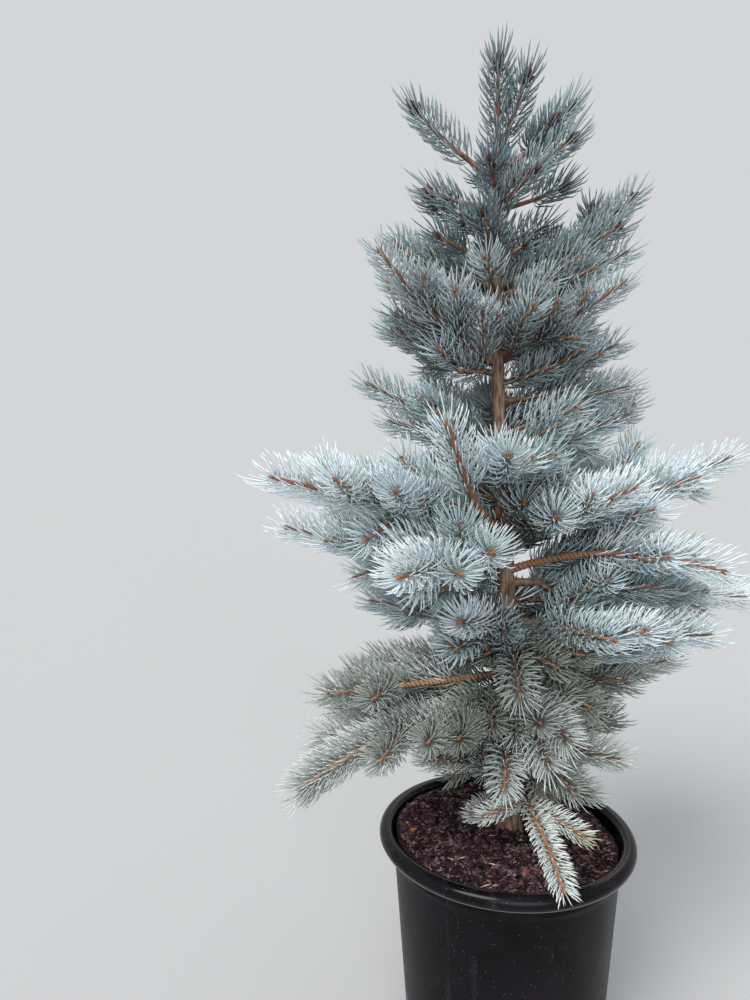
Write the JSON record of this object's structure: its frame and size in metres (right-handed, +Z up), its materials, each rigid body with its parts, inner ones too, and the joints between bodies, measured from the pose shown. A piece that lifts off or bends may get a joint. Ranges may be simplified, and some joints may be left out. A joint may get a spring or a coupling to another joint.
{
  "type": "potted blue spruce",
  "caption": "Young blue spruce with whorls of needled boughs round a leaning trunk, growing in a round tapered nursery pot with a rolled rim.",
  "frame": {"origin": "centre of the pot's flat underside, on the surface that it stands on", "axes": "+Z up along the pot's axis, +X to the viewer's right in the picture, +Y away from the viewer"},
  "size_m": [0.7257, 0.6511, 1.4244],
  "materials": {
    "pot": "smooth black moulded plastic, dusty, with a satin rim",
    "compost": "dark moist crumbs with chips of bark",
    "bark": "rough grey-brown bark",
    "needles": "silvery blue waxy needles"
  },
  "bodies": {
    "root": {"pot": "pot", "compost": "compost", "trunk": "bark", "top_left_foliage": "needles", "top_right_foliage": "needles", "top_front_right_foliage": "needles", "top_front_foliage": "needles", "top_left_low_foliage": "needles", "top_right_low_foliage": "needles", "top_back_foliage": "needles", "high_right_foliage": "needles", "high_right_low_foliage": "needles", "high_back_foliage": "needles", "high_back_left_foliage": "needles", "upper_front_right_limb": "bark", "upper_front_right_foliage": "needles", "upper_front_left_limb": "bark", "upper_front_left_foliage": "needles", "upper_left_foliage": "needles", "upper_right_foliage": "needles", "upper_right_low_foliage": "needles", "upper_back_right_foliage": "needles", "upper_back_left_foliage": "needles", "middle_left_foliage": "needles", "middle_right_foliage": "needles", "middle_back_foliage": "needles", "wide_front_left_limb": "bark", "wide_front_left_foliage": "needles", "wide_left_limb": "bark", "wide_left_foliage": "needles", "wide_front_foliage": "needles", "wide_front_right_limb": "bark", "wide_front_right_foliage": "needles", "wide_right_foliage": "needles", "wide_back_right_foliage": "needles", "wide_back_foliage": "needles", "wide_back_left_foliage": "needles", "broad_front_right_limb": "bark", "broad_front_right_foliage": "needles", "broad_left_foliage": "needles", "broad_right_foliage": "needles", "low_right_foliage": "needles", "low_back_right_foliage": "needles", "low_back_left_foliage": "needles", "skirt_left_limb": "bark", "skirt_left_foliage": "needles", "skirt_front_foliage": "needles", "skirt_front_right_foliage": "needles", "skirt_right_foliage": "needles", "skirt_back_foliage": "needles", "foot_left_limb": "bark", "foot_left_foliage": "needles", "foot_front_left_foliage": "needles", "foot_right_foliage": "needles", "foot_front_right_foliage": "needles", "foot_back_right_foliage": "needles", "foot_back_left_foliage": "needles", "hem_front_foliage": "needles", "hem_front_left_foliage": "needles", "leader_foliage": "needles"}
  },
  "joints": []
}
